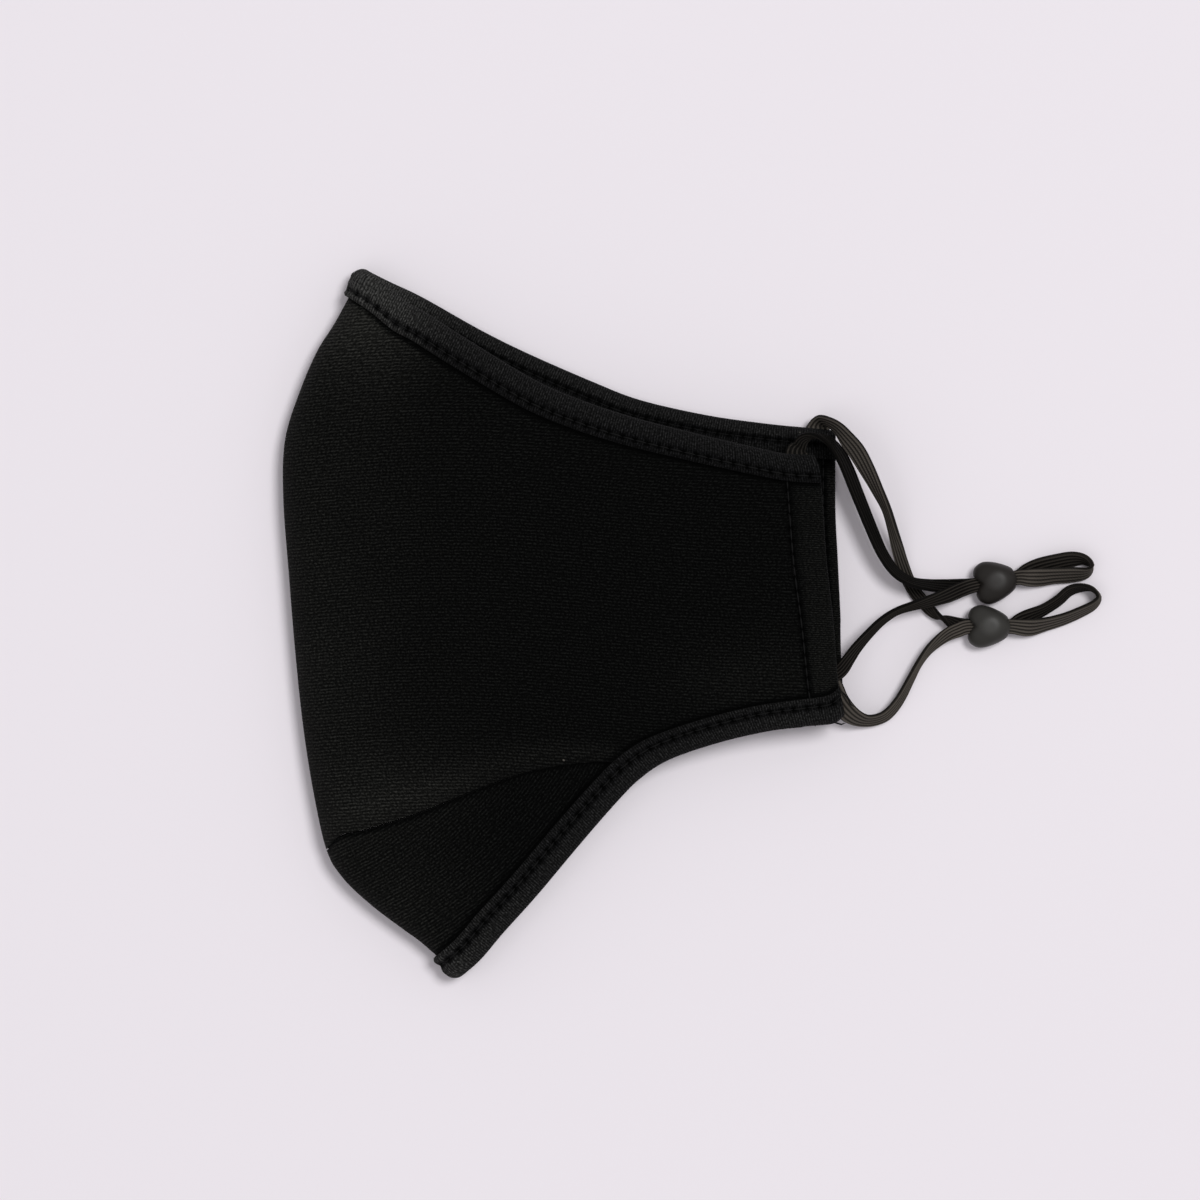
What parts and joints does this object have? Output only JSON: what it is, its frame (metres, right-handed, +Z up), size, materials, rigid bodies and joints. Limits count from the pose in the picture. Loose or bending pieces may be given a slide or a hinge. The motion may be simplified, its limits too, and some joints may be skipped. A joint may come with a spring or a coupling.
{
  "type": "cloth face mask",
  "caption": "Folded cloth face mask with bound edges, hemmed ear sides, flat elastic ear loops and heart-shaped cord locks.",
  "frame": {"origin": "on the surface it lies on, below the middle of the folded mask without its elastics", "axes": "+X from the front fold to the ears, +Y from the chin to the nose, +Z up from the surface"},
  "size_m": [0.1726, 0.1494, 0.0152],
  "materials": {
    "jersey": "black cotton jersey, matt",
    "binding_tape": "black ribbed knit tape, matt",
    "elastic": "charcoal braided flat elastic",
    "cord_lock": "matt charcoal silicone"
  },
  "bodies": {
    "root": {"side_panel_near": "jersey", "side_panel_far": "jersey", "chin_panel_near": "jersey", "chin_panel_far": "jersey", "top_binding": "binding_tape", "lower_binding": "binding_tape", "ear_elastic_near": "elastic", "ear_elastic_far": "elastic", "cord_lock_near": "cord_lock", "cord_lock_far": "cord_lock"}
  },
  "joints": []
}
